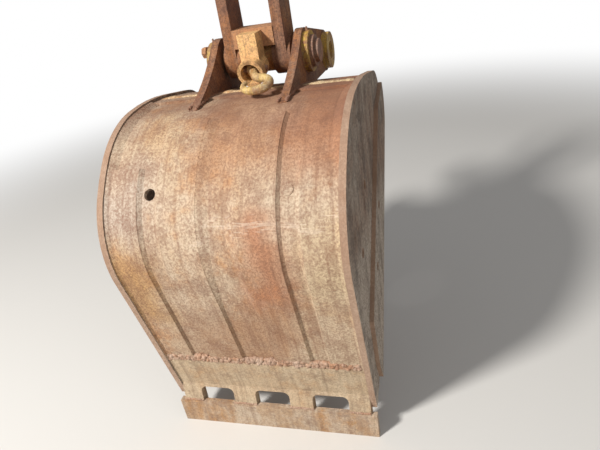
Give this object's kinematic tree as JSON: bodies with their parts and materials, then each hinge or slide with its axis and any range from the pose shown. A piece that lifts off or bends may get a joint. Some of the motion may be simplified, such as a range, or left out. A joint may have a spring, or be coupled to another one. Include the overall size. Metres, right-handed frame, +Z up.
{
  "type": "excavator bucket with link and lifting hook",
  "caption": "Deep digging bucket with curved shell, flat edge bar, two ears, a pinned link of paired bars and a lifting hook on the link.",
  "frame": {"origin": "centre of the bore for the arm's pin, midway between the ears", "axes": "+X across the bucket, +Y from the shell's back to the mouth, +Z up as it stands on its edge bar"},
  "size_m": [0.768, 1.0319, 1.6907],
  "materials": {
    "shell_rust": "rusty steel under pale sand dust",
    "side_rust": "dark brown rust with dust",
    "lip_sand": "worn steel caked with pale sand",
    "edge_rust": "orange rust and sand",
    "link_rust": "dull brown rust",
    "boss_yellow": "chipped yellow paint over rust",
    "pin_steel": "rusty pin steel",
    "hook_yellow": "chipped yellow paint over rust"
  },
  "bodies": {
    "bucket": {"wrapper": "shell_rust", "side_left": "side_rust", "side_right": "side_rust", "side_bar_left": "side_rust", "side_bar_right": "side_rust", "lip_plate": "lip_sand", "edge_bar": "edge_rust", "top_plate": "shell_rust", "mouth_bar": "side_rust", "corner_left": "shell_rust", "corner_right": "shell_rust", "strip_left": "shell_rust", "strip_right": "shell_rust", "drain_plug": "shell_rust", "ear_left": "link_rust", "ear_right": "link_rust", "arm_boss_left": "boss_yellow", "arm_boss_right": "boss_yellow", "pin_boss_left": "boss_yellow", "pin_boss_right": "boss_yellow", "link_pin": "pin_steel", "pin_cap": "pin_steel"},
    "link": {"link_bar_left": "link_rust", "link_bar_right": "link_rust", "link_saddle": "edge_rust", "hook_housing": "boss_yellow", "hook_pin": "pin_steel"},
    "hook": {"hook": "hook_yellow"}
  },
  "joints": [
    {"name": "link_swing", "type": "hinge", "parent": "bucket", "child": "link", "pos_m": [0, -0.28, 0.053], "axis": [-1, 0, 0], "range_deg": [0, 65]},
    {"name": "hook_swing", "type": "hinge", "parent": "link", "child": "hook", "pos_m": [0, -0.392, 0.036], "axis": [-1, 0, 0], "range_deg": [0, 12]}
  ]
}
